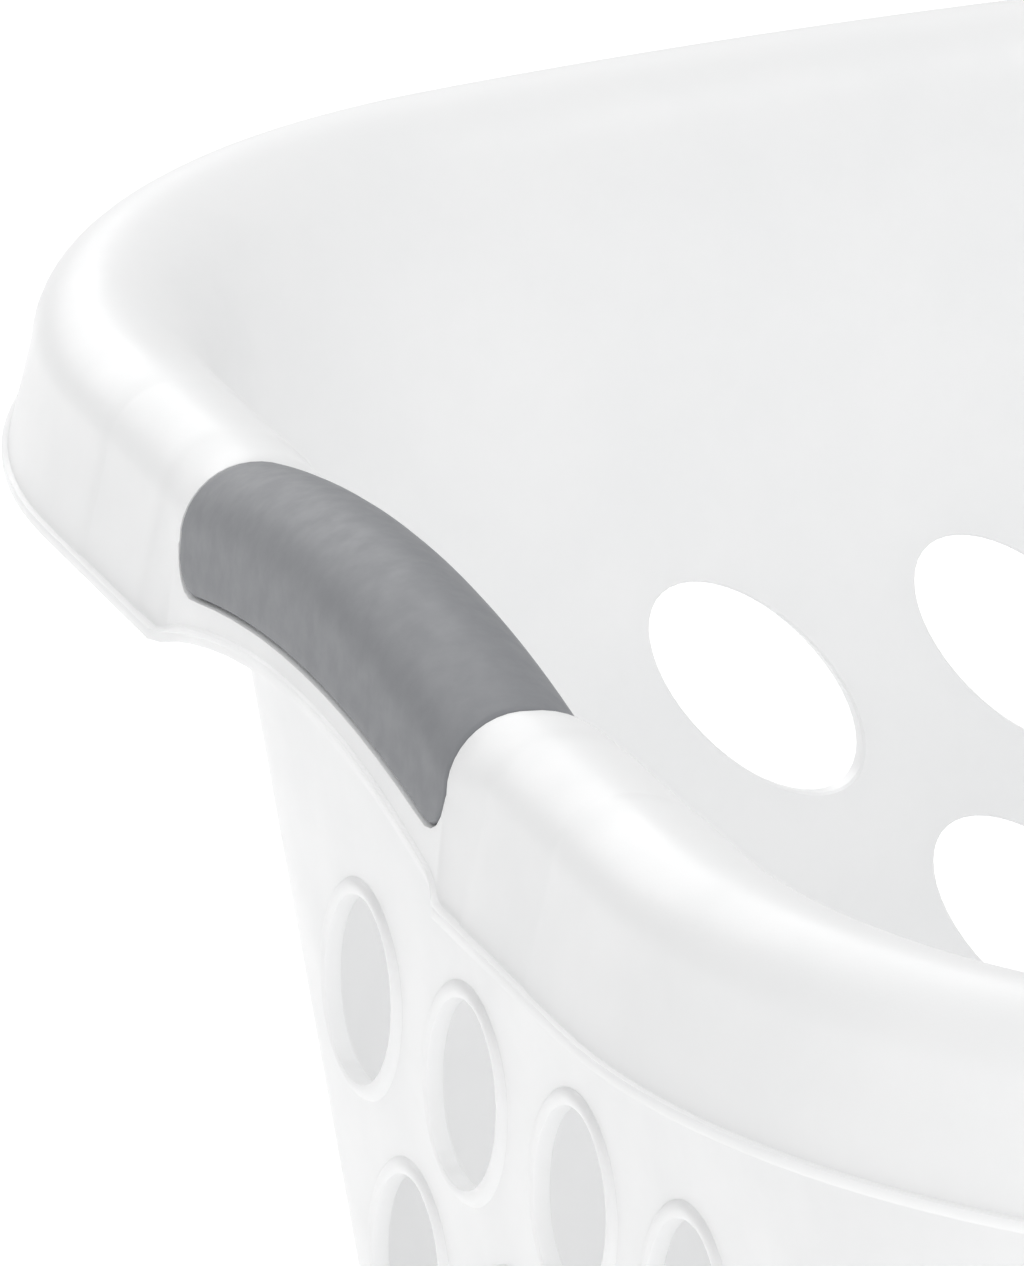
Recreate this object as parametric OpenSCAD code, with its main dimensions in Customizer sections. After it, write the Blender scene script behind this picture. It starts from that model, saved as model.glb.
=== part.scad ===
// Open laundry hamper: one tapered, perforated plastic moulding with a rolled rim,
// and a soft grip pressed onto each of its two arched handles.
// The moulding is drawn in sections that meet face to face. +Z is up, the hamper
// stands on z = 0 with its middle over the origin, and the handles are at -X and +X.
// A section is drawn as (o, z): o is the distance outwards from the skirt's foot.

/* [Hamper] */
// Length from skirt to skirt, handle to handle
hamper_l = 465; // [440:1:560]
// Height of the rim's crown above the ground
rim_h = 318; // [300:1:420]
// Inward lean of the walls, in degrees
wall_lean = 9.3; // [4:0.1:10]
// Thickness of the moulding
skin = 2; // [1.6:0.1:2.4]
// Radius of the plan's corners, at the skirt
corner_r = 120; // [110:1:130]
// Half the length of the straight part of each end
end_half = 106; // [100:1:130]
// Angle through which half of each bowed side turns
side_turn = 14; // [8:1:18]

/* [Rim] */
// Depth of the skirt below the crown
skirt_h = 25; // [22:1:32]
// How much further out the skirt's foot stands than its top
skirt_draft = 3; // [1:0.5:4]
// Radius of the crown's outer shoulder
crown_r = 10.2; // [8:0.1:12]
// Height of the crown's soft inner shoulder
shoulder_h = 18; // [14:1:20]
// Distance from the skirt's foot in to the wall, measured at the crown's height
wall_inset = 24; // [22:0.5:30]
// Width of the lip around the skirt's foot
lip_w = 3.6; // [2:0.1:5]
// Height of the lip
lip_h = 2.8; // [2:0.1:4]

/* [Holes] */
// Length of an oval hole
oval_l = 46; // [30:1:48]
// Width of an oval hole
oval_w = 22; // [14:1:24]
// Slant of the ovals, in degrees
oval_slant = 45; // [30:1:60]
// Distance between columns on the ends, and between the floor's rows
end_pitch = 44; // [42:0.5:46]
// Distance between columns on the sides
side_pitch = 47; // [44:0.5:50]
// Distance between rows
row_pitch = 43.7; // [42:0.1:45]
// Depth of the first row below the crown
first_row = 94; // [85:1:100]

/* [Handles] */
// Half the length of the arched handle
handle_half = 57; // [50:1:65]
// Rise of the handle's arch
arch_rise = 7; // [4:0.5:9]
// Half the length of the soft grip
grip_half = 54.5; // [46:0.5:62]
// Thickness of the soft grip
grip_t = 2.5; // [2:0.1:3]

/* [Base] */
// Height of the floor's underside
floor_z = 2; // [1:0.5:4]
// Thickness of the floor
floor_t = 2.5; // [2:0.1:4]

/* [Hidden] */
ENDS = ["left", "right"];
SIDES = ["far", "near"];

WHITE = "whitesmoke";
GREY = "dimgray";
half_l = hamper_l / 2;
corner_turn = 90 - side_turn;
corner_x = half_l - corner_r;
side_r = corner_x / sin(side_turn) + corner_r;
side_cy = end_half - (side_r - corner_r) * cos(side_turn);
lean = tan(wall_lean);
wall_top = rim_h - skirt_h;
rows = 5;
columns = 5;
arc_steps = 7;
plan_steps = 14;
stations = 18;

// Distance outwards of the wall's outer face at height z, and of its inner face.
function wall_out(z) = -wall_inset - lean * (rim_h - z);
function wall_in(z) = wall_out(z) - skin / cos(wall_lean);

// Points on an ellipse's arc, from angle a to angle b.
function arc(cx, cz, rx, rz, a, b, n = arc_steps) =
    [for (i = [0 : n]) let (t = a + (b - a) * i / n) [cx + rx * cos(t), cz + rz * sin(t)]];

// Half-width of a shoulder ellipse that runs smoothly into a leaning wall face,
// which would reach the crown's height at distance o.
crown_o = -skirt_draft - crown_r;
function shoulder_w(o, rz) =
    let (c = (crown_o - o) * cos(wall_lean) + shoulder_h * sin(wall_lean))
    sqrt(pow(c, 2) - pow(rz * sin(wall_lean), 2)) / cos(wall_lean);
// The angle at which that ellipse meets the wall's face.
function shoulder_end(rx, rz) = 180 - atan(tan(wall_lean) * rz / rx);

// One skin of the plain rim, from the skirt's foot over the crown to the wall's top.
// t is how far the skin lies under the outer surface.
function rim_skin(t, wall_o) =
    let (rz = shoulder_h - t, rx = shoulder_w(wall_o, rz))
    concat(
        [[-t, wall_top]],
        arc(crown_o, rim_h - crown_r, crown_r - t, crown_r - t, 0, 90),
        tail(arc(crown_o, rim_h - shoulder_h, rx, rz, 90, shoulder_end(rx, rz))));

function reversed(list) = [for (i = [len(list) - 1 : -1 : 0]) list[i]];
function tail(list) = [for (i = [1 : len(list) - 1]) list[i]];

// Section of the plain rim with its lip.
module rim_section() {
    polygon(concat(
        rim_skin(0, wall_in(rim_h)),
        [[wall_in(wall_top), wall_top], [wall_out(wall_top), wall_top]],
        reversed(rim_skin(skin, wall_out(rim_h)))));
    translate([-skin / 2, wall_top])
        square([lip_w + skin / 2, lip_h]);
}

module wall_section() {
    polygon([
        [wall_out(wall_top), wall_top], [wall_in(wall_top), wall_top],
        [wall_in(0), 0], [wall_out(0), 0]]);
}

// Sweeps a section along the left end, from y0 to y1.
module along_end(y0, y1) {
    translate([-half_l, y0, 0])
        rotate([90, 0, 180])
            linear_extrude(y1 - y0)
                children();
}

// Sweeps a section around the far left corner.
module around_corner() {
    translate([-corner_x, end_half, 0])
        rotate([0, 0, 180 - corner_turn])
            rotate_extrude(angle = corner_turn, $fn = 180)
                translate([corner_r, 0])
                    children();
}

// Sweeps a section along the far side.
module along_side() {
    translate([0, side_cy, 0])
        rotate([0, 0, 90 - side_turn])
            rotate_extrude(angle = 2 * side_turn, $fn = 720)
                translate([side_r, 0])
                    children();
}

// An oval prism through a wall that faces the direction turn.
module oval(turn) {
    rotate([90, 0, turn + 90])
        rotate([0, 0, oval_slant])
            scale([oval_l / 2, oval_w / 2, 1])
                cylinder(h = 16, r = 1, center = true, $fn = 64);
}

function row_z(row) = rim_h - first_row - row * row_pitch;
// Middle of the wall's thickness at a row's height.
function row_o(row) = (wall_out(row_z(row)) + wall_in(row_z(row))) / 2;

module left_end_wall() {
    difference() {
        along_end(-end_half, end_half)
            wall_section();
        for (row = [0 : rows - 1], column = [0 : columns - 1])
            translate([-half_l - row_o(row), (column - 2) * end_pitch, row_z(row)])
                oval(180);
    }
}

module far_side_wall() {
    step = side_pitch / side_r * 180 / PI * side_r / (side_r + row_o(0));
    difference() {
        along_side()
            wall_section();
        for (row = [0 : rows - 1], column = [0 : columns - 1])
            let (turn = 90 + (column - 2) * step, r = side_r + row_o(row))
                translate([r * cos(turn), side_cy + r * sin(turn), row_z(row)])
                    oval(turn);
    }
}

module corner_wall() {
    around_corner()
        wall_section();
}

module far_side_rim() {
    along_side()
        rim_section();
}

module corner_rim() {
    around_corner()
        rim_section();
}

// The straight stretch of the rim between a corner and the handle.
module end_rim() {
    along_end(handle_half, end_half)
        rim_section();
}

// The plan's outline at offset o. Half of it runs around the far side, and the other
// half is the same turned by 180 degrees.
function plan(o) =
    let (
        corner = corner_r + o,
        side = side_r + o,
        half = concat(
            arc(-corner_x, end_half, corner, corner, 180, 180 - corner_turn, plan_steps),
            tail(arc(0, side_cy, side, side, 90 + side_turn, 90 - side_turn, plan_steps)),
            tail(arc(corner_x, end_half, corner, corner, corner_turn, 0, plan_steps))))
    [for (turned = [1, -1], p = half) turned * p];

// The floor, which meets the walls' inner faces along its lower edge.
module base() {
    color(WHITE)
    difference() {
        translate([0, 0, floor_z])
            linear_extrude(floor_t)
                polygon(plan(wall_in(floor_z)));
        for (i = [-2 : 2], j = [-2 : 2])
            translate([i * side_pitch, j * end_pitch, floor_z])
                rotate([0, 0, oval_slant])
                    scale([oval_l / 2, oval_w / 2, 1])
                        cylinder(h = 16, r = 1, center = true, $fn = 64);
    }
}

// Rise of the handle's arch at distance y from its middle.
function rise(y) = arch_rise * (1 - pow(y / handle_half, 2));

// The handle's own section is slimmer than the rim: its outer shoulder is a circle
// and its inner one an ellipse, both around grip_o, and it stands lower by grip_drop.
grip_drop = 1.3;
grip_r = crown_r;
grip_o = -1.4 - grip_r;
grip_w = 13;
grip_edge = -19.2;
grip_back = -14;
function grip_skin(t) = concat(
    [[-0.6 - t, grip_edge]],
    arc(grip_o, -grip_drop - grip_r, grip_r - t, grip_r - t, 0, 90),
    tail(arc(grip_o, grip_back, grip_w - t, -grip_back - grip_drop - t, 90, 180)));

// Closed rings of points, joined into one solid. Each ring is a list of [x, y, z],
// clockwise as seen from outside the first one.
module loft(rings) {
    n = len(rings[0]);
    last = len(rings) - 1;
    polyhedron(
        points = [for (ring = rings) each ring],
        faces = concat(
            [[for (k = [0 : n - 1]) k]],
            [[for (k = [n - 1 : -1 : 0]) last * n + k]],
            [for (i = [0 : last - 1], k = [0 : n - 1])
                let (m = (k + 1) % n)
                    each [[i * n + k, (i + 1) * n + k, (i + 1) * n + m],
                        [i * n + k, (i + 1) * n + m, i * n + m]]]));
}

// A section's points set at distance y along the left handle, lifted by its arch.
function at_station(points, y) =
    [for (p = points) [-half_l - p[0], y, rim_h + p[1] + rise(y)]];

// The last two points of the bar's section stay on the wall's top edge.
function bar_ring(y) =
    let (t = grip_t + skin, foot = -skirt_h)
    concat(
        at_station(concat(
            [[0, foot], [-0.6, grip_edge]],
            grip_skin(grip_t),
            [[grip_o - grip_w, grip_back]]), y),
        [[-half_l - wall_in(wall_top), y, wall_top],
            [-half_l - wall_out(wall_top), y, wall_top]],
        at_station(concat(
            reversed(grip_skin(t)),
            [[-skin, foot]]), y));

module handle_bar() {
    loft([for (i = [0 : stations])
        bar_ring(handle_half * (2 * i / stations - 1))]);
}

module grip() {
    loft([for (i = [0 : stations])
        let (y = grip_half * (1 - 2 * i / stations))
            at_station(concat(grip_skin(grip_t), reversed(grip_skin(0))), y)]);
}

// Turns a left part into the one at the named end, or a far part into the near one.
module at_end(end) {
    rotate([0, 0, end == "left" ? 0 : 180])
        children();
}

module at_corner(side, end) {
    mirror([end == "left" ? 0 : 1, 0, 0])
        mirror([0, side == "far" ? 0 : 1, 0])
            children();
}

base();
for (e = ENDS) {
    color(WHITE) at_end(e) left_end_wall();
    color(WHITE) at_end(e) handle_bar();
    color(GREY) at_end(e) grip();
}
for (s = SIDES) {
    color(WHITE) rotate([0, 0, s == "far" ? 0 : 180]) far_side_wall();
    color(WHITE) rotate([0, 0, s == "far" ? 0 : 180]) far_side_rim();
    for (e = ENDS) {
        color(WHITE) at_corner(s, e) corner_wall();
        color(WHITE) at_corner(s, e) corner_rim();
        color(WHITE) at_corner(s, e) end_rim();
    }
}
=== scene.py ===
"""Open laundry hamper: the visual model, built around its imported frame.

One white moulding (its perforated walls, rolled rim and arched handles are one surface,
and its floor a second) and a grey soft grip on each handle. Lengths are in metres.
A point of a section is (offset, height): offset is the distance outwards from a
handle's outer face, and the plan path carries it around the hamper.
"""

import math

import bmesh
import bpy
import numpy as np
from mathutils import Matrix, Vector


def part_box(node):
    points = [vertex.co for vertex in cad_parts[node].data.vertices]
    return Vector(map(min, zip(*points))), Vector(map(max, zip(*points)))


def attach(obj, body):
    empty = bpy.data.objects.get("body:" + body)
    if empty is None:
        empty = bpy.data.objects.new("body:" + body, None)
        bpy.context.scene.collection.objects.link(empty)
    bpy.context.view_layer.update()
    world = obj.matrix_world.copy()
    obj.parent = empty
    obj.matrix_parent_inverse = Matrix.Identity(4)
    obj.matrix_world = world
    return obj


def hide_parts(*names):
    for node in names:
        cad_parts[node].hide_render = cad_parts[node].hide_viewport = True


bl_info = {
    "name": "Open Laundry Hamper",
    "version": (1, 0, 0),
    "blender": (4, 5, 0),
    "location": "View3D > Sidebar > Hamper",
    "description": "Builds a perforated laundry hamper with soft handle grips",
    "category": "Add Mesh",
}

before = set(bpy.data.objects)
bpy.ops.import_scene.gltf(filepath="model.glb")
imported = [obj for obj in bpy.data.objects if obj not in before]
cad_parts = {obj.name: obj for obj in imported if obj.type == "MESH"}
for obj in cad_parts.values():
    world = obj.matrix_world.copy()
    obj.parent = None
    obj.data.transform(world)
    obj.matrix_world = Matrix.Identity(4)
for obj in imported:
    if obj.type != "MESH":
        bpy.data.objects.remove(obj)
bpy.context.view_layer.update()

MM = 0.001

# Holes: rows of them, columns of them on each wall, and mesh steps across one's cell.
ROWS = 5
COLUMNS = 5
ACROSS = 12

# Mesh steps round a corner, over the rim's two shoulders, under them and along a grip.
CORNER_STEPS = 36
SHOULDER_STEPS = 12
CROWN_STEPS = 10
UNDER_STEPS = 6
GRIP_STEPS = 33

# Rows of the rim's section: on each wall, around the skirt's foot and up its face.
WALL_ROWS = 4
FOOT_ROWS = 11
FACE_ROWS = 6
SKIRT_ROW = WALL_ROWS + 2 * UNDER_STEPS + 1

WALL_NODES = [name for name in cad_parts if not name.endswith("_grip") and name != "base"]

END_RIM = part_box("far_left_end_rim")
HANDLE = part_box("left_handle_bar")
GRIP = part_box("left_grip")
END_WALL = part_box("left_end_wall")
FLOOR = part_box("base")


def length(label, text, default):
    """A length property, in metres."""
    return bpy.props.FloatProperty(
        name=label, description=text, default=default, unit="LENGTH", precision=4
    )


def angle(label, text, degrees):
    """An angle property, given in degrees and kept in radians."""
    return bpy.props.FloatProperty(
        name=label, description=text, default=math.radians(degrees), subtype="ANGLE"
    )


def tint(label, text, default):
    """A linear colour property."""
    return bpy.props.FloatVectorProperty(
        name=label, description=text, default=default, size=3, subtype="COLOR", min=0, max=1
    )


# --------------------------------------------------------------------------- sizes


class HamperSizes(bpy.types.PropertyGroup):
    """Sizes of the white moulding."""

    half_length: length("Half length", "Middle to a handle's outer face", -HANDLE[0].x)
    lip_width: length("Lip width", "How far the lip stands out from the handle's face", 2.1 * MM)
    lip_height: length("Lip height", "Height of the lip around the skirt's foot", 1.8 * MM)
    flare: length("Flare", "How far the skirt's foot stands out from the handle's face", 1.5 * MM)
    rim_height: length("Rim height", "Height of the rim's crown", END_RIM[1].z)
    wall_top: length("Wall top", "Height of the skirt's foot", END_RIM[0].z - 1.5 * MM)
    end_half: length("End half", "Half the straight part of an end", END_WALL[1].y)
    corner_radius: length("Corner radius", "Radius of the plan's corners at the skirt", 120 * MM)
    side_turn: angle("Side turn", "Angle through which half of a bowed side turns", 14)
    wall_lean: angle("Wall lean", "Inward lean of the walls", 9.3)
    skin: length("Skin", "Thickness of the moulding", 2 * MM)
    wall_inset: length("Wall inset", "Skirt's foot to the wall, at the crown's height", 24 * MM)
    skirt_draft: length("Skirt draft", "How much the skirt's foot stands out", 2.4 * MM)
    crown_radius: length("Crown radius", "Radius of the crown's outer shoulder", 10.2 * MM)
    shoulder: length("Shoulder", "Height of the crown's inner shoulder", 18 * MM)
    oval_length: length("Oval length", "Length of a hole", 46 * MM)
    oval_width: length("Oval width", "Width of a hole", 22 * MM)
    end_pitch: length("End pitch", "Between columns of holes on an end", 44 * MM)
    side_pitch: length("Side pitch", "Between columns of holes on a side", 47 * MM)
    row_pitch: length("Row pitch", "Between rows of holes", 43.7 * MM)
    first_row: length("First row", "Depth of the first row below the crown", 94 * MM)
    bead_width: length("Bead width", "Width of the raised bead around a hole", 2.7 * MM)
    bead_height: length("Bead height", "Height of the bead around a hole", 1.0 * MM)
    rib_depth: length("Rim step", "Depth of each step across the rim", 0.22 * MM)
    first_step: length("First step", "End's middle to the first step across the rim", 66.4 * MM)
    last_step: length("Last step", "End's middle to the second step", 91.5 * MM)
    blend_end: length("Blend end", "End's middle to where the skirt is plain", 66 * MM)


class GripSizes(bpy.types.PropertyGroup):
    """Sizes of the handles and of their soft grips."""

    handle_half: length("Handle half", "Half the length of an arched handle", HANDLE[1].y)
    grip_half: length("Grip half", "Half the length of a grip", GRIP[1].y)
    arch_rise: length("Arch rise", "Rise of a handle's arch", 7 * MM)
    foot_lift: bpy.props.FloatProperty(
        name="Foot lift", description="Rise of the skirt's foot, as a share of the arch", default=1.28
    )
    thickness: length("Thickness", "Thickness of a grip", 2.5 * MM)
    drop: length("Drop", "How far a grip lies below the crown, without its arch", 1.3 * MM)
    half_width: length("Half width", "Middle of the crown to a grip's inner side", 12.1 * MM)
    face: length("Face", "Skirt's foot in to a grip's outer face", 1.4 * MM)
    edge: length("Edge", "Depth of a grip's lower edge below the crown", 19.2 * MM)
    back: length("Back", "Depth of a grip's inner edge below the crown", 14 * MM)
    corner: length("Corner", "Radius of a grip's lower corners", 7.5 * MM)
    rounding: length("Rounding", "Rounding of a grip's edges", 0.8 * MM)


class Finishes(bpy.types.PropertyGroup):
    """Colours of the moulding and of the grips."""

    white: tint("White", "White plastic", (0.88, 0.882, 0.884))
    white_shade: tint("White shade", "Cloudier parts of the plastic", (0.86, 0.864, 0.867))
    grey: tint("Grey", "Soft grip", (0.230, 0.236, 0.250))
    grey_shade: tint("Grey shade", "Duller parts of the grip", (0.218, 0.224, 0.238))


class StudioSettings(bpy.types.PropertyGroup):
    """The camera, the lights and the floor."""

    azimuth: angle("Azimuth", "Camera's turn about the hamper", -19.89)
    elevation: angle("Elevation", "Camera's height above the horizon", 19.12)
    distance: length("Distance", "Camera to the point that it looks at", 1.65)
    aim_in: length("Aim in", "Aim point, in from the skirt", 20.4 * MM)
    aim_along: length("Aim along", "Aim point, along the handle", -27.6 * MM)
    lens: bpy.props.FloatProperty(
        name="Lens", description="Focal length in millimetres", default=355.2, subtype="NONE"
    )
    reach: length("Reach", "Half the width of the floor", 30)
    floor: tint("Floor", "Colour of the floor", (0.93, 0.93, 0.93))
    sky: tint("Surroundings", "Colour of the light from all round", (1.0, 1.0, 1.0))


def sizes():
    """The four groups of settings."""
    scene = bpy.context.scene
    return scene.hamper_sizes, scene.hamper_grips, scene.hamper_finishes, scene.hamper_studio


# --------------------------------------------------------------------------- plan and walls


def wall_outer(s, height):
    """Offset of the walls' outer face: it leans in by tan(lean) per unit of depth."""
    return -s.wall_inset - math.tan(s.wall_lean) * (s.rim_height - height)


def wall_inner(s, height):
    """Offset of the walls' inner face, one skin in from the outer face."""
    return wall_outer(s, height) - s.skin / math.cos(s.wall_lean)


def row_height(s, row):
    """Height of the middle of a row of holes."""
    return s.rim_height - s.first_row - row * s.row_pitch


class Plan:
    """The outline seen from above, as a path that runs clockwise from the left end.

    Distance along it is measured in the walls, at the first row of holes. It is a chain
    of straight lines and arcs: each has a base, a slide direction, a radius, a
    starting angle and a rate of turn. The second half is the first one
    turned by 180 degrees. at() gives base + radius * normal + distance * slide, with the
    normal at angle start - rate * distance.
    """

    def __init__(self, s):
        middle = wall_outer(s, row_height(s, 0)) - s.skin / 2
        half = s.half_length
        corner_x = half - s.corner_radius
        side_radius = corner_x / math.sin(s.side_turn) + s.corner_radius
        side_centre = s.end_half - (side_radius - s.corner_radius) * math.cos(s.side_turn)
        quarter = math.pi / 2 - s.side_turn
        corner = s.corner_radius + middle
        side = side_radius + middle
        spans = [2 * s.end_half, quarter * corner, 2 * s.side_turn * side, quarter * corner]
        base = np.array([
            [-half, -s.end_half],
            [-corner_x, s.end_half],
            [0, side_centre],
            [corner_x, s.end_half],
        ])
        slide = np.array([[0, 1], [0, 0], [0, 0], [0, 0]], float)
        up = math.pi / 2
        start = np.array([math.pi, math.pi, up + s.side_turn, up - s.side_turn])
        rate = [0, 1 / corner, 1 / side, 1 / corner]
        radius = [0, s.corner_radius, side_radius, s.corner_radius]
        self.half_span = sum(spans)
        self.end_middle = s.end_half
        self.side_middle = spans[0] + spans[1] + spans[2] / 2
        self.starts = np.concatenate([[0], np.cumsum(spans + spans)[:-1]])
        self.base = np.concatenate([base, -base])
        self.slide = np.concatenate([slide, -slide])
        self.start = np.concatenate([start, start - math.pi])
        self.rate = np.array(rate + rate)
        self.radius = np.array(radius + radius)

    def at(self, distance):
        """Place on the handle's outline and outward normal at each distance."""
        distance = np.mod(distance, 2 * self.half_span)
        part = np.searchsorted(self.starts, distance, side="right") - 1
        local = distance - self.starts[part]
        turn = self.start[part] - self.rate[part] * local
        normal = np.stack([np.cos(turn), np.sin(turn)], -1)
        foot = self.base[part] + self.radius[part][..., None] * normal
        return foot + local[..., None] * self.slide[part], normal

    def carry(self, distance, offset, height):
        """Points of the surface: outline + offset * normal, at the given height."""
        outline, normal = self.at(distance)
        flat = outline + offset[..., None] * normal
        up = np.broadcast_to(height, offset.shape)[..., None]
        return np.concatenate([flat, up], -1)


def end_stations():
    """Distances from an end's middle, ACROSS for each column of holes.

    They are closer together at the grip's end, at the lip's rounded end and at the two
    steps across the rim.
    """
    half = MM * np.array(
        [22, 30, 38, 44.5, 48.5, 50.8, 52.6, 53.8, 54.3, 54.8, 56.3, 58.8, 66]
        + [66.8, 70, 75, 80, 85, 90, 91.1, 92, 95, 100, 105, 110]
    )
    middle = np.linspace(-half[0], half[0], ACROSS + 1)[1:-1]
    return np.concatenate([-half[::-1], middle, half])


def stations(s, plan):
    """All distances around the plan: an end, a corner, a side and a corner, twice."""
    end = plan.end_middle + end_stations()
    reach = COLUMNS / 2 * s.side_pitch
    side = np.linspace(plan.side_middle - reach, plan.side_middle + reach, COLUMNS * ACROSS + 1)
    first = np.linspace(end[-1], side[0], CORNER_STEPS + 1)
    second = np.linspace(side[-1], end[0] + plan.half_span, CORNER_STEPS + 1)
    half = np.concatenate([end[:-1], first[:-1], side[:-1], second[:-1]])
    return np.concatenate([half, half + plan.half_span])


# --------------------------------------------------------------------------- mesh making


class Patchwork:
    """Collects grids of points, and makes one closed mesh of them."""

    def __init__(self):
        self.points = []
        self.faces = []
        self.count = 0

    def grid(self, points, wrap=False):
        """Adds a grid of points, rows by columns. wrap joins the last column to the first."""
        rows, columns = points.shape[:2]
        index = self.count + np.arange(rows * columns).reshape(rows, columns)
        after = np.roll(index, -1, axis=1)
        if not wrap:
            index, after = index[:, :-1], after[:, :-1]
        quads = np.stack([index[:-1], after[:-1], after[1:], index[1:]], -1)
        self.points.append(points.reshape(-1, 3))
        self.faces.append(quads.reshape(-1, 4))
        self.count += rows * columns

    def build(self, name, sharp=38):
        """One object: doubles merged, faces outwards, edges sharper than the angle kept."""
        mesh = bpy.data.meshes.new(name)
        points = np.concatenate(self.points)
        mesh.from_pydata(points.tolist(), [], np.concatenate(self.faces).tolist())
        work = bmesh.new()
        work.from_mesh(mesh)
        bmesh.ops.remove_doubles(work, verts=work.verts, dist=0.004 * MM)
        bmesh.ops.dissolve_degenerate(work, edges=work.edges, dist=0.002 * MM)
        bmesh.ops.recalc_face_normals(work, faces=work.faces)
        work.to_mesh(mesh)
        work.free()
        mesh.polygons.foreach_set("use_smooth", np.ones(len(mesh.polygons), bool))
        mesh.set_sharp_from_angle(angle=math.radians(sharp))
        piece = bpy.data.objects.new(name, mesh)
        bpy.context.scene.collection.objects.link(piece)
        return piece


def arc(centre, radii, start, stop, steps, ends=(True, True)):
    """Points on an ellipse's arc, as (offset, height) columns for every station.

    ends says whether the first and the last point are kept. Radii may be arrays.
    """
    turn = np.radians(np.linspace(start, stop, steps + 1))
    turn = turn[0 if ends[0] else 1 : None if ends[1] else -1, None]
    across = centre[0] + radii[0] * np.cos(turn)
    return across, centre[1] + radii[1] * np.sin(turn)


# --------------------------------------------------------------------------- rim sections


def rows(*parts):
    """Stacks lists of (offset, height) pairs and arcs into two row-by-station arrays."""
    across, up = zip(*parts)
    return np.concatenate(across), np.concatenate(up)


def level(zero, *pairs):
    """Rows from (offset, height) pairs, each a number or an array over the stations."""
    return (
        np.stack([zero + pair[0] for pair in pairs]),
        np.stack([zero + pair[1] for pair in pairs]),
    )


def wall_rows(s, zero, face, *heights):
    """Rows on a wall's face at the given heights."""
    return level(zero, *[(face(s, height), height) for height in heights])


def cell_top(s):
    """Height of the top of the first row's cells."""
    return row_height(s, 0) + s.row_pitch / 2


def cell_bottom(s):
    """Height of the bottom of the last row's cells."""
    return row_height(s, ROWS - 1) - s.row_pitch / 2


def plain_section(s, inset, lip):
    """The plain rim, as rows from the outer wall, under the crown, to the inner wall.

    Its outer skin is a quarter circle and then an ellipse that runs smoothly into the
    wall's inner face, and its underside is the same one skin in. inset shrinks the
    crown at each station, and lip says how much of the lip is there.
    """
    foot = s.wall_top
    crown = -s.skirt_draft - s.crown_radius
    shell = (crown, s.rim_height - s.crown_radius)
    shoulder = (crown, s.rim_height - s.shoulder)
    zero = np.zeros_like(inset)

    def reach(offset, depth):
        """Half-width of the ellipse that touches a face leaning in from offset."""
        across = (crown - offset) * math.cos(s.wall_lean) + s.shoulder * math.sin(s.wall_lean)
        return math.sqrt(across**2 - (depth * math.sin(s.wall_lean)) ** 2) / math.cos(s.wall_lean)

    def end(width, depth):
        """Angle at which that ellipse meets the face."""
        return 180 - math.degrees(math.atan(math.tan(s.wall_lean) * depth / width))

    depth = s.shoulder - s.skin
    under = reach(wall_outer(s, s.rim_height), depth)
    inner = reach(wall_inner(s, s.rim_height), s.shoulder)
    circle = s.crown_radius - s.skin
    soft = 0.45 * MM * lip
    width = s.flare + (s.lip_width - s.flare) * lip
    top = foot + s.lip_height
    slope = (s.skirt_draft + s.flare) / (s.rim_height - s.crown_radius - foot)
    below = (cell_top(s), foot - 30 * MM, foot - 12 * MM)

    def face(above):
        """Offset of the skirt's outer face at a height above its foot."""
        return s.flare - slope * above - inset

    return rows(
        wall_rows(s, zero, wall_outer, *below, foot - 1.5 * MM),
        arc(shoulder, (under + zero, depth + zero), end(under, depth), 90, UNDER_STEPS),
        arc(shell, (circle + zero, circle + zero), 90, 0, UNDER_STEPS, (False, True)),
        level(
            zero,
            (face(4 * MM) - s.skin, foot + 4 * MM),
            (s.flare - s.skin, foot + 0.6 * MM),
            (s.flare - s.skin + 0.6 * MM, foot),
            (width - soft, foot),
            (width - 0.25 * soft, foot + 0.25 * soft),
            (width, foot + soft),
            (width, top - soft),
            (width - 0.25 * soft, top - 0.25 * soft),
            (width - soft, top),
            (face(s.lip_height) + 0.25 * soft, top),
            (face(s.lip_height + 0.3 * MM), top + 0.3 * MM),
            (face(6 * MM), foot + 6 * MM),
            (face(11 * MM), foot + 11 * MM),
        ),
        arc(shell, (s.crown_radius - inset, s.crown_radius - inset), 0, 90, CROWN_STEPS),
        arc(
            shoulder, (inner - inset, s.shoulder - inset), 90, end(inner, s.shoulder),
            SHOULDER_STEPS, (False, True)
        ),
        level(zero, (wall_inner(s, foot + 7 * MM), foot + 7 * MM)),
        wall_rows(s, zero, wall_inner, foot, *below[::-1]),
    )


def grip_curve(s, g, depth):
    """A grip's outer skin, or the skin at a depth under it, from its face to its back.

    It is a quarter circle from the face up to the crown, and then a quarter ellipse
    that falls to the back edge. Both have their middle half a crown in from the face.
    """
    middle = -g.face - s.crown_radius
    radius = s.crown_radius - depth
    low = g.back - g.drop
    top = (middle, s.rim_height - g.drop - s.crown_radius)
    back = (middle, s.rim_height - g.back)
    inner = (g.half_width - depth, low - depth)
    return (
        arc(top, (radius, radius), 0, 90, CROWN_STEPS),
        arc(back, inner, 90, 180, SHOULDER_STEPS, (False, True)),
    )


def face_offset(s, g, height):
    """Offset of a handle's outer face: a line from the skirt's foot up to its shoulder."""
    shoulder = s.rim_height - g.drop - s.crown_radius
    return -g.face * (height - s.wall_top) / (shoulder - s.wall_top)


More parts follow.
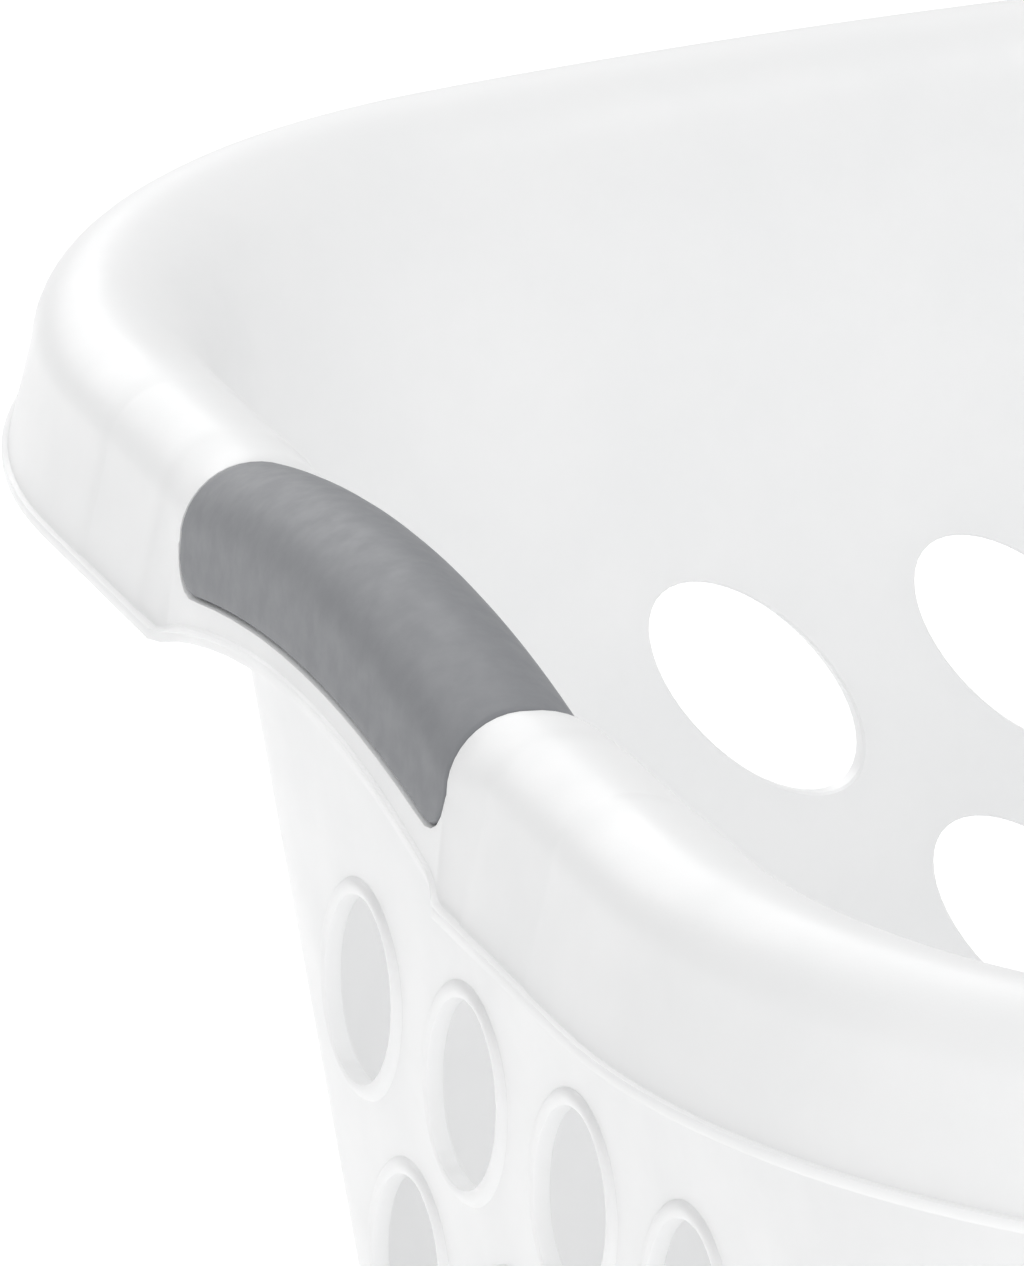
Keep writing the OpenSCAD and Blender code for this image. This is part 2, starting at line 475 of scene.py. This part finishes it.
def handle_section(s, g, sunk, edge):
    """The arched bar under a grip, in the same rows as the plain rim.

    edge is the height of the grip's lower edge at each station. Below it the skirt
    shows, with a raised line along its foot, and above it the bar lies sunk by the
    depth given for each station.
    """
    foot = s.wall_top
    zero = np.zeros_like(edge)
    under = g.thickness + s.skin
    middle = -g.face - s.crown_radius
    low = g.back - g.drop - under
    circle = s.crown_radius - under
    crown, shoulder = grip_curve(s, g, sunk)
    back = (middle, s.rim_height - g.back)
    top = (middle, s.rim_height - g.drop - s.crown_radius)
    below = (cell_top(s), foot - 30 * MM, foot - 12 * MM)
    return rows(
        wall_rows(s, zero, wall_outer, *below, foot - 1.5 * MM),
        arc(back, (g.half_width - under + zero, low + zero), 180, 90, UNDER_STEPS),
        arc(top, (circle + zero, circle + zero), 90, 0, UNDER_STEPS, (False, True)),
        level(
            zero,
            (-s.skin - 1.5 * MM, foot + 5 * MM),
            (-s.skin, foot + 0.6 * MM),
            (-s.skin + 0.6 * MM, foot),
            (-0.5 * MM, foot),
            (-0.1 * MM, foot + 0.2 * MM),
            (0, foot + 0.7 * MM),
            (0, foot + 1.4 * MM),
            (0.45 * MM, foot + 1.7 * MM),
            (0.5 * MM, foot + 2.1 * MM),
            (0.4 * MM, foot + 2.5 * MM),
            (-0.1 * MM, foot + 2.8 * MM),
            (face_offset(s, g, edge - 0.4 * MM), edge - 0.4 * MM),
            (face_offset(s, g, edge) - sunk, edge),
        ),
        crown,
        shoulder,
        level(zero, (middle - g.half_width, s.rim_height - g.back - 0.2 * MM)),
        wall_rows(s, zero, wall_inner, foot, *below[::-1]),
    )


def arch(g, along):
    """Lift of the handle's arch: a parabola that is zero at the handle's ends."""
    return g.arch_rise * np.clip(1 - (along / g.handle_half) ** 2, 0, None)


def grip_edge(s, g, along):
    """Height of a grip's lower edge: straight, with a rounded corner at each end."""
    over = np.clip(np.abs(along) - (g.grip_half - g.corner), 0, g.corner)
    return s.rim_height - g.edge + g.corner - np.sqrt(g.corner**2 - over**2)


def rim_strip(s, g, plan, distance):
    """The whole rim and the plain band of wall under it, a row for each section point.

    Along an end the section changes from the handle's to the plain one just past the
    grip: quickly over the crown, and slowly down the skirt. The crown steps outwards
    twice more on its way to the corner, and the lip grows in a quarter circle.
    """
    half = plan.half_span
    along = np.mod(distance + half / 2, half) - half / 2 - plan.end_middle
    along = np.where(along < -half / 2, along + half, along)
    past = np.abs(along)
    inset = s.rib_depth * ((past < s.first_step) + (past < s.last_step) * 1.0)
    knob = np.clip((past - g.grip_half - 0.5 * MM) / (3.5 * MM), 0, 1)
    lip = np.sqrt(1 - (1 - knob) ** 2)
    plain = plain_section(s, inset, lip)
    sunk = np.where(past < g.grip_half - 0.1 * MM, g.thickness, 0.1 * MM)
    bar = handle_section(s, g, sunk, grip_edge(s, g, along))
    end = g.grip_half + 0.3 * MM
    share = np.empty_like(bar[0])
    share[:] = np.interp(past, [end, end + 1.5 * MM, end + 4 * MM], [0, 0.85, 1])
    foot = slice(SKIRT_ROW, SKIRT_ROW + FOOT_ROWS)
    face = slice(SKIRT_ROW + FOOT_ROWS, SKIRT_ROW + FOOT_ROWS + FACE_ROWS)
    share[foot] = np.interp(past, [end - 2 * MM, end + 4 * MM], [0, 1])
    share[face] = np.interp(past, [end, s.blend_end], [0, 1])
    offset = bar[0] + share * (plain[0] - bar[0])
    height = bar[1] + share * (plain[1] - bar[1])
    lift = np.ones(len(height))
    lift[foot] = g.foot_lift
    lift[:WALL_ROWS] = lift[-WALL_ROWS:] = 0
    height = height + lift[:, None] * arch(g, along)
    return plan.carry(np.broadcast_to(distance, offset.shape), offset, height)


def foot_strip(s, plan, distance):
    """The plain band at the foot of the walls, with its rounded lower edge."""
    zero = np.zeros_like(distance)
    soft = 0.6 * MM
    low = (14 * MM, 4 * MM, soft)
    outer, inner = wall_outer(s, 0), wall_inner(s, 0)
    offset, height = rows(
        wall_rows(s, zero, wall_outer, cell_bottom(s), *low),
        level(
            zero,
            (outer - 0.25 * soft, 0.25 * soft),
            (outer - soft, 0),
            (inner + soft, 0),
            (inner + 0.25 * soft, 0.25 * soft),
        ),
        wall_rows(s, zero, wall_inner, *low[::-1], cell_bottom(s)),
    )
    return plan.carry(np.broadcast_to(distance, offset.shape), offset, height)


# --------------------------------------------------------------------------- perforated walls


def oval(s, beyond, slant):
    """A slanted ellipse, or the curve at a distance beyond it, ACROSS points a quarter.

    Point t is length * cos t along the slant and width * sin t across it, and the curve
    beyond it adds the ellipse's own normal times the distance.
    """
    turn = np.arange(4 * ACROSS) * math.pi / (2 * ACROSS)
    long, short = s.oval_length / 2, s.oval_width / 2
    normal = np.stack([np.cos(turn) / long, np.sin(turn) / short], -1)
    normal /= np.linalg.norm(normal, axis=1, keepdims=True)
    point = np.stack([long * np.cos(turn), short * np.sin(turn)], -1) + beyond * normal
    axes = np.array([[-math.cos(slant), math.sin(slant)], [math.sin(slant), math.cos(slant)]])
    return point @ axes


def frame_ring(across, up):
    """The edge of a rectangle of points, clockwise from its first top corner."""
    still = np.ones(len(across) - 1)
    return np.concatenate([
        np.column_stack([across[:-1], still * up[0]]),
        np.column_stack([still * across[-1], up[:-1]]),
        np.column_stack([across[:0:-1], still * up[-1]]),
        np.column_stack([still * across[0], up[:0:-1]]),
    ])


def bead_rings(s):
    """The raised bead as (distance beyond the hole, height) pairs, a half round."""
    wide, high = s.bead_width, s.bead_height
    return [
        (wide, 0),
        (0.86 * wide, 0.5 * high),
        (0.6 * wide, 0.95 * high),
        (0.28 * wide, high),
        (0.06 * wide, 0.7 * high),
        (0, 0.2 * high),
    ]


def hole_cell(s, plan, across, up):
    """One hole in its cell of wall.

    Its rings run from the outer frame, over the bead and through the hole, to the
    inner frame.
    """
    middle = np.array([(across[0] + across[-1]) / 2, (up[0] + up[-1]) / 2])
    border = frame_ring(across, up)
    slant = math.radians(45)
    spread = middle + oval(s, s.bead_width + 0.4 * MM, slant)
    rings = [(border, wall_outer, 0), ((border + spread) / 2, wall_outer, 0)]
    for out, high in bead_rings(s):
        rings.append((middle + oval(s, out, slant), wall_outer, high))
    soft = 0.35 * MM
    rings += [
        (middle + oval(s, 0, slant), wall_inner, soft),
        (middle + oval(s, soft, slant), wall_inner, 0),
        ((border + middle + oval(s, soft, slant)) / 2, wall_inner, 0),
        (border, wall_inner, 0),
    ]
    place = np.stack([ring[0] for ring in rings])
    offset = np.stack([face(s, ring[:, 1]) + high for ring, face, high in rings])
    return plan.carry(place[..., 0], offset, place[..., 1])


def perforated_walls(s, plan, patch, distance):
    """Every wall between the two plain bands: cells with holes, and plain corners.

    The stretches come in turn: a perforated wall, a corner, and so on.
    """
    levels = np.linspace(cell_top(s), cell_bottom(s), ROWS * ACROSS + 1)
    span = COLUMNS * ACROSS
    starts = np.cumsum([0, span, CORNER_STEPS, span, CORNER_STEPS, span, CORNER_STEPS, span])
    closed = np.append(distance, distance[0] + 2 * plan.half_span)
    for part, start in enumerate(starts):
        if part % 2:
            across = closed[start : start + CORNER_STEPS + 1]
            for face in (wall_outer, wall_inner):
                shape = (len(levels), len(across))
                offset = np.broadcast_to(face(s, levels)[:, None], shape)
                along = np.broadcast_to(across, shape)
                patch.grid(plan.carry(along, offset, levels[:, None]))
            continue
        for column in range(COLUMNS):
            across = closed[start + column * ACROSS : start + (column + 1) * ACROSS + 1]
            for row in range(ROWS):
                up = levels[row * ACROSS : (row + 1) * ACROSS + 1]
                patch.grid(hole_cell(s, plan, across, up), wrap=True)


def at_heights(rings):
    """Flat rings, each at its own height, as one grid of points."""
    return np.stack([np.column_stack([ring, np.full(len(ring), up)]) for ring, up in rings])


def floor_patch(s, patch):
    """The middle of the floor: a grid of cells with ovals, between its two faces."""
    bottom, top = FLOOR[0].z, FLOOR[1].z
    soft = 0.4 * MM
    cells = np.linspace(0, COLUMNS, COLUMNS * ACROSS + 1) - COLUMNS / 2
    columns = s.side_pitch * cells
    lines = -s.end_pitch * cells
    for column in range(COLUMNS):
        for row in range(COLUMNS):
            across = columns[column * ACROSS : (column + 1) * ACROSS + 1]
            up = lines[row * ACROSS : (row + 1) * ACROSS + 1]
            middle = np.array([across.mean(), up.mean()])
            border = frame_ring(across, up)
            slant = math.radians(135)
            rim = middle + np.roll(oval(s, soft, slant), ACROSS, axis=0)
            hole = middle + np.roll(oval(s, 0, slant), ACROSS, axis=0)
            rings = [
                (border, top), (rim, top), (hole, top - soft),
                (hole, bottom + soft), (rim, bottom), (border, bottom),
            ]
            patch.grid(at_heights(rings), wrap=True)
    return columns, lines, bottom, top


def floor_apron(s, plan, patch):
    """The floor's outer band: straight lines from the grid's frame to the outline.

    The outline has as many points as the frame, and goes a little into the walls.
    """
    columns, lines, bottom, top = floor_patch(s, patch)
    inner = frame_ring(columns, lines)
    quarter = (plan.side_middle - plan.end_middle) / 2
    count = len(columns) - 1
    side = plan.side_middle + np.linspace(-quarter, quarter, count + 1)[:-1]
    end = plan.end_middle + np.linspace(-quarter, quarter, count + 1)[:-1]
    turn = plan.half_span
    distance = np.concatenate([side, end + turn, side + turn, end + 2 * turn])
    offset = np.full(len(distance), wall_inner(s, bottom) + 0.6 * MM)
    outer = plan.carry(distance, offset, 0)[:, :2]
    middle = (inner + outer) / 2
    rings = [
        (inner, top), (middle, top), (outer, top),
        (outer, bottom), (middle, bottom), (inner, bottom),
    ]
    patch.grid(at_heights(rings), wrap=True)


# --------------------------------------------------------------------------- grips


def grip_mesh(s, g, end):
    """A soft grip: the grip's skin over the bar, with rounded edges and ends.

    Each ring runs along the outer skin and back along the inner one. Near an edge or
    an end the two skins draw together by a quarter circle of the rounding's radius.
    """
    soft = g.rounding
    turn = np.linspace(0, math.pi / 2, 6)
    tip = soft * (1 - np.sin(turn))
    straight = np.linspace(g.grip_half - soft, 0, GRIP_STEPS + 1)[1:]
    half = np.concatenate([g.grip_half - soft + soft * np.cos(turn), straight])
    draw = np.concatenate([tip, np.zeros(GRIP_STEPS)])
    along = np.concatenate([half, -half[-2::-1]])
    draw = np.concatenate([draw, draw[-2::-1]])
    edge = grip_edge(s, g, along)
    rise = s.rim_height - g.drop - s.crown_radius

    def skin(depth):
        """The skin at a depth, from above the rounded lower edge to the back edge."""
        crown, shoulder = grip_curve(s, g, depth)
        low = edge + soft
        height = low + (rise - low) * np.linspace(0, 1, 6)[:-1, None]
        front = (face_offset(s, g, height) - depth, height)
        return rows(front, crown, shoulder)

    outer = skin(draw)
    inner = skin(g.thickness - draw)
    bend = np.linspace(0, math.pi, 9)[1:-1, None]

    def lip(first, last, down):
        """A half-round edge that joins two skins: out along down by its half-width."""
        centre = (first + last) / 2
        reach = (last - first) / 2
        return centre - reach * np.cos(bend), down * soft * np.sin(bend)

    back, back_drop = lip(outer[0][-1], inner[0][-1], -1)
    front, front_drop = lip(inner[0][0], outer[0][0], -1)
    offset = np.concatenate([outer[0], back, inner[0][::-1], front])
    height = np.concatenate([
        outer[1], outer[1][-1] + back_drop, inner[1][::-1], outer[1][0] + front_drop,
    ]) + arch(g, along)
    side = -1 if end == "left" else 1
    across = -side * np.broadcast_to(along, offset.shape)
    points = np.stack([side * (s.half_length + offset), across, height], -1)
    patch = Patchwork()
    patch.grid(np.concatenate([points, points[:1]]))
    count = len(outer[0])
    turned = count + len(back)
    for column in (0, -1):
        ring = np.concatenate([points[:, column], points[:1, column]])
        patch.grid(np.stack([ring[:count], ring[turned : turned + count][::-1]]))
        for bow in (ring[count - 1 : turned + 1], ring[turned + count - 1 :]):
            patch.grid(np.stack([bow[1:], np.broadcast_to(bow[0], bow[1:].shape)]))
    return patch.build(f"{end}_soft_grip", sharp=50)


# --------------------------------------------------------------------------- materials


def surface_group():
    """Node group for a moulded surface, from object coordinates.

    Clouds from a broad noise turn the first colour into the second, and set the
    roughness between two values. A fine noise is the grain's height, with long faint
    streaks in it.
    """
    group = bpy.data.node_groups.new("moulded_surface", "ShaderNodeTree")
    ask = group.interface.new_socket
    ask("Colour", in_out="INPUT", socket_type="NodeSocketColor")
    ask("Cloud Colour", in_out="INPUT", socket_type="NodeSocketColor")
    for name in ("Cloud Scale", "Grain Scale", "Smooth", "Rough", "Streaks"):
        ask(name, in_out="INPUT", socket_type="NodeSocketFloat")
    ask("Colour", in_out="OUTPUT", socket_type="NodeSocketColor")
    ask("Roughness", in_out="OUTPUT", socket_type="NodeSocketFloat")
    ask("Height", in_out="OUTPUT", socket_type="NodeSocketFloat")
    add, link = group.nodes.new, group.links.new
    given = add("NodeGroupInput").outputs
    result = add("NodeGroupOutput").inputs
    place = add("ShaderNodeTexCoord").outputs["Object"]

    cloud = add("ShaderNodeTexNoise")
    cloud.inputs["Detail"].default_value = 4
    cloud.inputs["Roughness"].default_value = 0.6
    link(place, cloud.inputs["Vector"])
    link(given["Cloud Scale"], cloud.inputs["Scale"])

    spread = add("ShaderNodeMapRange")
    spread.inputs["From Min"].default_value = 0.35
    spread.inputs["From Max"].default_value = 0.65
    link(cloud.outputs["Fac"], spread.inputs["Value"])

    mix = add("ShaderNodeMix")
    mix.data_type = "RGBA"
    link(spread.outputs["Result"], mix.inputs["Factor"])
    link(given["Colour"], mix.inputs["A"])
    link(given["Cloud Colour"], mix.inputs["B"])
    link(mix.outputs["Result"], result["Colour"])

    gloss = add("ShaderNodeMapRange")
    link(spread.outputs["Result"], gloss.inputs["Value"])
    link(given["Smooth"], gloss.inputs["To Min"])
    link(given["Rough"], gloss.inputs["To Max"])
    link(gloss.outputs["Result"], result["Roughness"])

    grain = add("ShaderNodeTexNoise")
    grain.inputs["Detail"].default_value = 2
    link(place, grain.inputs["Vector"])
    link(given["Grain Scale"], grain.inputs["Scale"])

    stretch = add("ShaderNodeMapping")
    stretch.inputs["Scale"].default_value = (60, 60, 900)
    link(place, stretch.inputs["Vector"])
    streak = add("ShaderNodeTexNoise")
    streak.inputs["Scale"].default_value = 1
    streak.inputs["Detail"].default_value = 2
    link(stretch.outputs["Vector"], streak.inputs["Vector"])

    height = add("ShaderNodeMath")
    height.operation = "MULTIPLY_ADD"
    link(streak.outputs["Fac"], height.inputs[0])
    link(given["Streaks"], height.inputs[1])
    link(grain.outputs["Fac"], height.inputs[2])
    link(height.outputs["Value"], result["Height"])
    return group


def finish(name, group, values, bump):
    """A Principled material fed by the surface group and a bump."""
    material = bpy.data.materials.new(name)
    material.use_nodes = True
    nodes, links = material.node_tree.nodes, material.node_tree.links
    shader = nodes["Principled BSDF"]
    surface = nodes.new("ShaderNodeGroup")
    surface.node_tree = group
    for socket, value in values.items():
        surface.inputs[socket].default_value = value
    relief = nodes.new("ShaderNodeBump")
    relief.inputs["Strength"].default_value = bump
    relief.inputs["Distance"].default_value = 0.1 * MM
    links.new(surface.outputs["Colour"], shader.inputs["Base Color"])
    links.new(surface.outputs["Roughness"], shader.inputs["Roughness"])
    links.new(surface.outputs["Height"], relief.inputs["Height"])
    links.new(relief.outputs["Normal"], shader.inputs["Normal"])
    return material, shader


def colour(value):
    """A colour property as the four numbers that a socket takes."""
    return (*value, 1.0)


def white_plastic(group, f):
    """Satin white polypropylene: faintly cloudy, with a little light inside it."""
    material, shader = finish(
        "hamper_white_plastic",
        group,
        {
            "Colour": colour(f.white),
            "Cloud Colour": colour(f.white_shade),
            "Cloud Scale": 38,
            "Grain Scale": 2200,
            "Smooth": 0.34,
            "Rough": 0.46,
            "Streaks": 0.6,
        },
        0.10,
    )
    shader.inputs["IOR"].default_value = 1.49
    shader.inputs["Subsurface Weight"].default_value = 0.25
    shader.inputs["Subsurface Radius"].default_value = (1.0, 1.0, 1.0)
    shader.inputs["Subsurface Scale"].default_value = 3 * MM
    return material


def grey_grip(group, f):
    """Satin soft-touch elastomer: fine grained and faintly mottled."""
    material, shader = finish(
        "hamper_grey_grip",
        group,
        {
            "Colour": colour(f.grey),
            "Cloud Colour": colour(f.grey_shade),
            "Cloud Scale": 260,
            "Grain Scale": 3000,
            "Smooth": 0.50,
            "Rough": 0.58,
            "Streaks": 0.0,
        },
        0.08,
    )
    shader.inputs["IOR"].default_value = 1.5
    return material


def surface(slot):
    """A slot's material, made with its node group when it is first asked for."""
    found = bpy.data.materials.get(f"hamper_{slot}")
    if found:
        return found
    group = bpy.data.node_groups.get("moulded_surface") or surface_group()
    maker = {"white_plastic": white_plastic, "grey_grip": grey_grip}[slot]
    return maker(group, sizes()[2])


def place(piece, slot, *nodes):
    """Gives a piece its material and slot, and lets it stand for CAD nodes."""
    piece.data.materials.append(surface(slot))
    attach(piece, "root")
    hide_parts(*nodes)


# --------------------------------------------------------------------------- operators


class HAMPER_OT_shell(bpy.types.Operator):
    """Builds the moulding: walls, rim and handle bars as one closed surface"""

    bl_idname = "hamper.shell"
    bl_label = "Hamper Shell"

    def execute(self, context):
        s, g, _, _ = sizes()
        plan = Plan(s)
        distance = stations(s, plan)
        patch = Patchwork()
        patch.grid(rim_strip(s, g, plan, distance), wrap=True)
        perforated_walls(s, plan, patch, distance)
        patch.grid(foot_strip(s, plan, distance), wrap=True)
        place(patch.build("hamper_shell"), "white_plastic", *WALL_NODES)
        return {"FINISHED"}


class HAMPER_OT_floor(bpy.types.Operator):
    """Builds the perforated floor inside the walls"""

    bl_idname = "hamper.floor"
    bl_label = "Hamper Floor"

    def execute(self, context):
        s = sizes()[0]
        patch = Patchwork()
        floor_apron(s, Plan(s), patch)
        place(patch.build("hamper_floor"), "white_plastic", "base")
        return {"FINISHED"}


class HAMPER_OT_grips(bpy.types.Operator):
    """Builds the soft grip of each handle"""

    bl_idname = "hamper.grips"
    bl_label = "Handle Grips"

    def execute(self, context):
        s, g, _, _ = sizes()
        for end in ("left", "right"):
            place(grip_mesh(s, g, end), "grey_grip", f"{end}_grip")
        return {"FINISHED"}


class HAMPER_OT_stage(bpy.types.Operator):
    """Sets up the camera, the floor, the soft lights and the surroundings"""

    bl_idname = "hamper.stage"
    bl_label = "Studio Stage"

    def execute(self, context):
        s, _, _, studio = sizes()
        aim = Vector((-s.half_length + studio.aim_in, studio.aim_along, s.rim_height))
        across, up = studio.azimuth, studio.elevation
        level_part = math.cos(up)
        back = Vector((math.sin(across) * level_part, -math.cos(across) * level_part, math.sin(up)))
        camera = bpy.data.objects.new("camera", bpy.data.cameras.new("camera"))
        camera.data.lens = studio.lens
        camera.data.clip_end = 100
        camera.location = aim + studio.distance * back
        camera.rotation_euler = (math.pi / 2 - up, 0, across)
        context.scene.collection.objects.link(camera)
        context.scene.camera = camera

        self.floor(context, studio)
        self.light(context, "key", Vector((0.7, -0.7, 2.6)), 1.4, 13, aim)
        self.light(context, "back", Vector((-0.5, 2.0, 1.75)), 2.2, 28, aim)
        self.light(context, "fill", Vector((-0.3, -2.3, 1.1)), 1.2, 17, aim)
        world = bpy.data.worlds.new("surroundings")
        context.scene.world = world
        world.use_nodes = True
        background = world.node_tree.nodes["Background"]
        background.inputs["Color"].default_value = colour(studio.sky)
        background.inputs["Strength"].default_value = 0.55
        context.scene.view_settings.view_transform = "Standard"
        return {"FINISHED"}

    def floor(self, context, studio):
        """A wide plane at the height that the hamper stands on."""
        mesh = bpy.data.meshes.new("studio_floor")
        corners = [(-1, -1), (1, -1), (1, 1), (-1, 1)]
        points = [(studio.reach * x, studio.reach * y, 0) for x, y in corners]
        mesh.from_pydata(points, [], [(0, 1, 2, 3)])
        plane = bpy.data.objects.new("studio_floor", mesh)
        context.scene.collection.objects.link(plane)
        material = bpy.data.materials.new("studio_floor")
        material.use_nodes = True
        shader = material.node_tree.nodes["Principled BSDF"]
        shader.inputs["Base Color"].default_value = colour(studio.floor)
        shader.inputs["Roughness"].default_value = 0.9
        shader.inputs["Emission Color"].default_value = colour(studio.floor)
        shader.inputs["Emission Strength"].default_value = 0.3
        mesh.materials.append(material)

    def light(self, context, name, place, size, power, aim):
        """A square area light that faces the point the camera looks at."""
        lamp = bpy.data.objects.new(name, bpy.data.lights.new(name, "AREA"))
        lamp.data.size = size
        lamp.data.energy = power
        lamp.location = place
        lamp.rotation_euler = (aim - place).to_track_quat("-Z", "Y").to_euler()
        context.scene.collection.objects.link(lamp)


class HAMPER_PT_panel(bpy.types.Panel):
    """Lists the hamper's settings and its makers"""

    bl_idname = "HAMPER_PT_panel"
    bl_label = "Open Laundry Hamper"
    bl_space_type = "VIEW_3D"
    bl_region_type = "UI"
    bl_category = "Hamper"

    def draw(self, context):
        for group in sizes():
            box = self.layout.box()
            for name in group.__annotations__:
                box.prop(group, name)
        for maker in MAKERS:
            self.layout.operator(maker.bl_idname)


# --------------------------------------------------------------------------- registration

GROUPS = {
    "hamper_sizes": HamperSizes,
    "hamper_grips": GripSizes,
    "hamper_finishes": Finishes,
    "hamper_studio": StudioSettings,
}
MAKERS = (HAMPER_OT_stage, HAMPER_OT_shell, HAMPER_OT_floor, HAMPER_OT_grips)
CLASSES = (*GROUPS.values(), *MAKERS, HAMPER_PT_panel)


def register():
    """Adds the classes, and each group of settings to the scene."""
    for kind in CLASSES:
        bpy.utils.register_class(kind)
    for name, group in GROUPS.items():
        setattr(bpy.types.Scene, name, bpy.props.PointerProperty(type=group))


def unregister():
    """Takes away what register() adds."""
    for name in GROUPS:
        delattr(bpy.types.Scene, name)
    for kind in reversed(CLASSES):
        bpy.utils.unregister_class(kind)


def main():
    """Registers the add-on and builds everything."""
    register()
    bpy.ops.hamper.stage()
    bpy.ops.hamper.shell()
    bpy.ops.hamper.floor()
    bpy.ops.hamper.grips()


if __name__ == "__main__":
    main()
